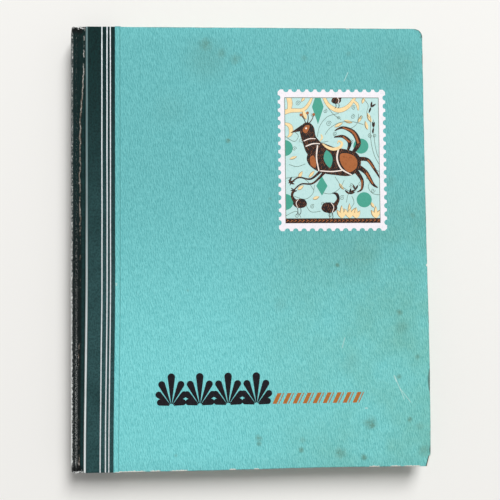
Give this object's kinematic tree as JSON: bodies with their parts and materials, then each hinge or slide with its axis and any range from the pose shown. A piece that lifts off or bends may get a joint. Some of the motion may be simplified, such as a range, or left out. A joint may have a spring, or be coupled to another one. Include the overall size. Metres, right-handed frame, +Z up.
{
  "type": "stamp stock album",
  "caption": "Small case-bound stock book for stamps with a cloth spine, paper sides, card leaves with clear pocket rows and glassine sheets between.",
  "frame": {"origin": "centre of the closed album's footprint, on the surface that its back cover lies on", "axes": "+X from the spine to the fore-edge, +Y from the tail to the head, +Z up through the front cover"},
  "size_m": [0.18, 0.225, 0.0172],
  "materials": {
    "greyboard": "matte",
    "cover_paper": "matte",
    "book_cloth": "matte",
    "endpaper": "matte",
    "leaf_card": "matte",
    "hinge_cloth": "matte",
    "pocket_film": "gloss",
    "glassine": "satin",
    "mull": "matte",
    "end_band": "matte",
    "thread": "matte",
    "foil": "satin",
    "copper_foil": "satin",
    "print_ink": "matte"
  },
  "bodies": {
    "back_cover": {"back_board": "greyboard", "back_paper": "cover_paper", "back_pastedown": "endpaper", "spine_cloth": "book_cloth", "spine_board": "greyboard", "spine_lining": "mull", "head_band": "end_band", "tail_band": "end_band", "guard_stubs": "leaf_card", "hinge_tabs": "hinge_cloth", "sewing_thread": "thread"},
    "front_cover": {"front_board": "greyboard", "front_paper": "cover_paper", "front_pastedown": "endpaper", "front_cloth": "book_cloth"},
    "front_flyleaf": {"front_flyleaf": "endpaper"},
    "leaf_1": {"leaf_1_card": "leaf_card", "leaf_1_hinge": "hinge_cloth", "leaf_1_front_pockets": "pocket_film", "leaf_1_back_pockets": "pocket_film"},
    "interleaf_1": {"interleaf_1": "glassine"},
    "leaf_2": {"leaf_2_card": "leaf_card", "leaf_2_hinge": "hinge_cloth", "leaf_2_front_pockets": "pocket_film", "leaf_2_back_pockets": "pocket_film"},
    "interleaf_2": {"interleaf_2": "glassine"},
    "leaf_3": {"leaf_3_card": "leaf_card", "leaf_3_hinge": "hinge_cloth", "leaf_3_front_pockets": "pocket_film", "leaf_3_back_pockets": "pocket_film"},
    "interleaf_3": {"interleaf_3": "glassine"},
    "leaf_4": {"leaf_4_card": "leaf_card", "leaf_4_hinge": "hinge_cloth", "leaf_4_front_pockets": "pocket_film", "leaf_4_back_pockets": "pocket_film"},
    "interleaf_4": {"interleaf_4": "glassine"},
    "leaf_5": {"leaf_5_card": "leaf_card", "leaf_5_hinge": "hinge_cloth", "leaf_5_front_pockets": "pocket_film", "leaf_5_back_pockets": "pocket_film"},
    "interleaf_5": {"interleaf_5": "glassine"},
    "leaf_6": {"leaf_6_card": "leaf_card", "leaf_6_hinge": "hinge_cloth", "leaf_6_front_pockets": "pocket_film", "leaf_6_back_pockets": "pocket_film"},
    "interleaf_6": {"interleaf_6": "glassine"},
    "leaf_7": {"leaf_7_card": "leaf_card", "leaf_7_hinge": "hinge_cloth", "leaf_7_front_pockets": "pocket_film", "leaf_7_back_pockets": "pocket_film"},
    "interleaf_7": {"interleaf_7": "glassine"},
    "leaf_8": {"leaf_8_card": "leaf_card", "leaf_8_hinge": "hinge_cloth", "leaf_8_front_pockets": "pocket_film", "leaf_8_back_pockets": "pocket_film"},
    "back_flyleaf": {"back_flyleaf": "endpaper"}
  },
  "joints": [
    {"name": "front_cover_hinge", "type": "hinge", "parent": "back_cover", "child": "front_cover", "pos_m": [-0.0825, 0, 0.01673], "axis": [0, -1, 0], "range_deg": [0, 180]},
    {"name": "front_flyleaf_turn", "type": "hinge", "parent": "back_cover", "child": "front_flyleaf", "pos_m": [-0.0814, 0, 0.01366], "axis": [0, -1, 0], "range_deg": [0, 96]},
    {"name": "leaf_1_turn", "type": "hinge", "parent": "back_cover", "child": "leaf_1", "pos_m": [-0.0806, 0, 0.01266], "axis": [0, -1, 0], "range_deg": [0, 87]},
    {"name": "interleaf_1_turn", "type": "hinge", "parent": "back_cover", "child": "interleaf_1", "pos_m": [-0.08045, 0, 0.01237], "axis": [0, -1, 0], "range_deg": [0, 82]},
    {"name": "leaf_2_turn", "type": "hinge", "parent": "back_cover", "child": "leaf_2", "pos_m": [-0.0803, 0, 0.01141], "axis": [0, -1, 0], "range_deg": [0, 77]},
    {"name": "interleaf_2_turn", "type": "hinge", "parent": "back_cover", "child": "interleaf_2", "pos_m": [-0.08015, 0, 0.01111], "axis": [0, -1, 0], "range_deg": [0, 72]},
    {"name": "leaf_3_turn", "type": "hinge", "parent": "back_cover", "child": "leaf_3", "pos_m": [-0.08, 0, 0.01014], "axis": [0, -1, 0], "range_deg": [0, 67]},
    {"name": "interleaf_3_turn", "type": "hinge", "parent": "back_cover", "child": "interleaf_3", "pos_m": [-0.07985, 0, 0.00985], "axis": [0, -1, 0], "range_deg": [0, 61.5]},
    {"name": "leaf_4_turn", "type": "hinge", "parent": "back_cover", "child": "leaf_4", "pos_m": [-0.0797, 0, 0.00889], "axis": [0, -1, 0], "range_deg": [0, 56]},
    {"name": "interleaf_4_turn", "type": "hinge", "parent": "back_cover", "child": "interleaf_4", "pos_m": [-0.07955, 0, 0.00859], "axis": [0, -1, 0], "range_deg": [0, 50.5]},
    {"name": "leaf_5_turn", "type": "hinge", "parent": "back_cover", "child": "leaf_5", "pos_m": [-0.0794, 0, 0.00762], "axis": [0, -1, 0], "range_deg": [0, 45]},
    {"name": "interleaf_5_turn", "type": "hinge", "parent": "back_cover", "child": "interleaf_5", "pos_m": [-0.07925, 0, 0.00733], "axis": [0, -1, 0], "range_deg": [0, 39.5]},
    {"name": "leaf_6_turn", "type": "hinge", "parent": "back_cover", "child": "leaf_6", "pos_m": [-0.0791, 0, 0.00636], "axis": [0, -1, 0], "range_deg": [0, 34]},
    {"name": "interleaf_6_turn", "type": "hinge", "parent": "back_cover", "child": "interleaf_6", "pos_m": [-0.07895, 0, 0.00607], "axis": [0, -1, 0], "range_deg": [0, 28.5]},
    {"name": "leaf_7_turn", "type": "hinge", "parent": "back_cover", "child": "leaf_7", "pos_m": [-0.0788, 0, 0.00511], "axis": [0, -1, 0], "range_deg": [0, 23]},
    {"name": "interleaf_7_turn", "type": "hinge", "parent": "back_cover", "child": "interleaf_7", "pos_m": [-0.07865, 0, 0.00481], "axis": [0, -1, 0], "range_deg": [0, 17.5]},
    {"name": "leaf_8_turn", "type": "hinge", "parent": "back_cover", "child": "leaf_8", "pos_m": [-0.0785, 0, 0.00384], "axis": [0, -1, 0], "range_deg": [0, 12]},
    {"name": "back_flyleaf_turn", "type": "hinge", "parent": "back_cover", "child": "back_flyleaf", "pos_m": [-0.0782, 0, 0.00352], "axis": [0, -1, 0], "range_deg": [0, 4]}
  ],
  "couplings": [
    {"joint": "front_flyleaf_turn", "follows": "front_cover_hinge", "ratio": 0.53333},
    {"joint": "leaf_1_turn", "follows": "front_cover_hinge", "ratio": 0.48333},
    {"joint": "interleaf_1_turn", "follows": "front_cover_hinge", "ratio": 0.45555},
    {"joint": "leaf_2_turn", "follows": "front_cover_hinge", "ratio": 0.42777},
    {"joint": "interleaf_2_turn", "follows": "front_cover_hinge", "ratio": 0.4},
    {"joint": "leaf_3_turn", "follows": "front_cover_hinge", "ratio": 0.37222},
    {"joint": "interleaf_3_turn", "follows": "front_cover_hinge", "ratio": 0.34166},
    {"joint": "leaf_4_turn", "follows": "front_cover_hinge", "ratio": 0.31111},
    {"joint": "interleaf_4_turn", "follows": "front_cover_hinge", "ratio": 0.28055},
    {"joint": "leaf_5_turn", "follows": "front_cover_hinge", "ratio": 0.25},
    {"joint": "interleaf_5_turn", "follows": "front_cover_hinge", "ratio": 0.21944},
    {"joint": "leaf_6_turn", "follows": "front_cover_hinge", "ratio": 0.18888},
    {"joint": "interleaf_6_turn", "follows": "front_cover_hinge", "ratio": 0.15833},
    {"joint": "leaf_7_turn", "follows": "front_cover_hinge", "ratio": 0.12777},
    {"joint": "interleaf_7_turn", "follows": "front_cover_hinge", "ratio": 0.09722},
    {"joint": "leaf_8_turn", "follows": "front_cover_hinge", "ratio": 0.06666},
    {"joint": "back_flyleaf_turn", "follows": "front_cover_hinge", "ratio": 0.02222}
  ]
}
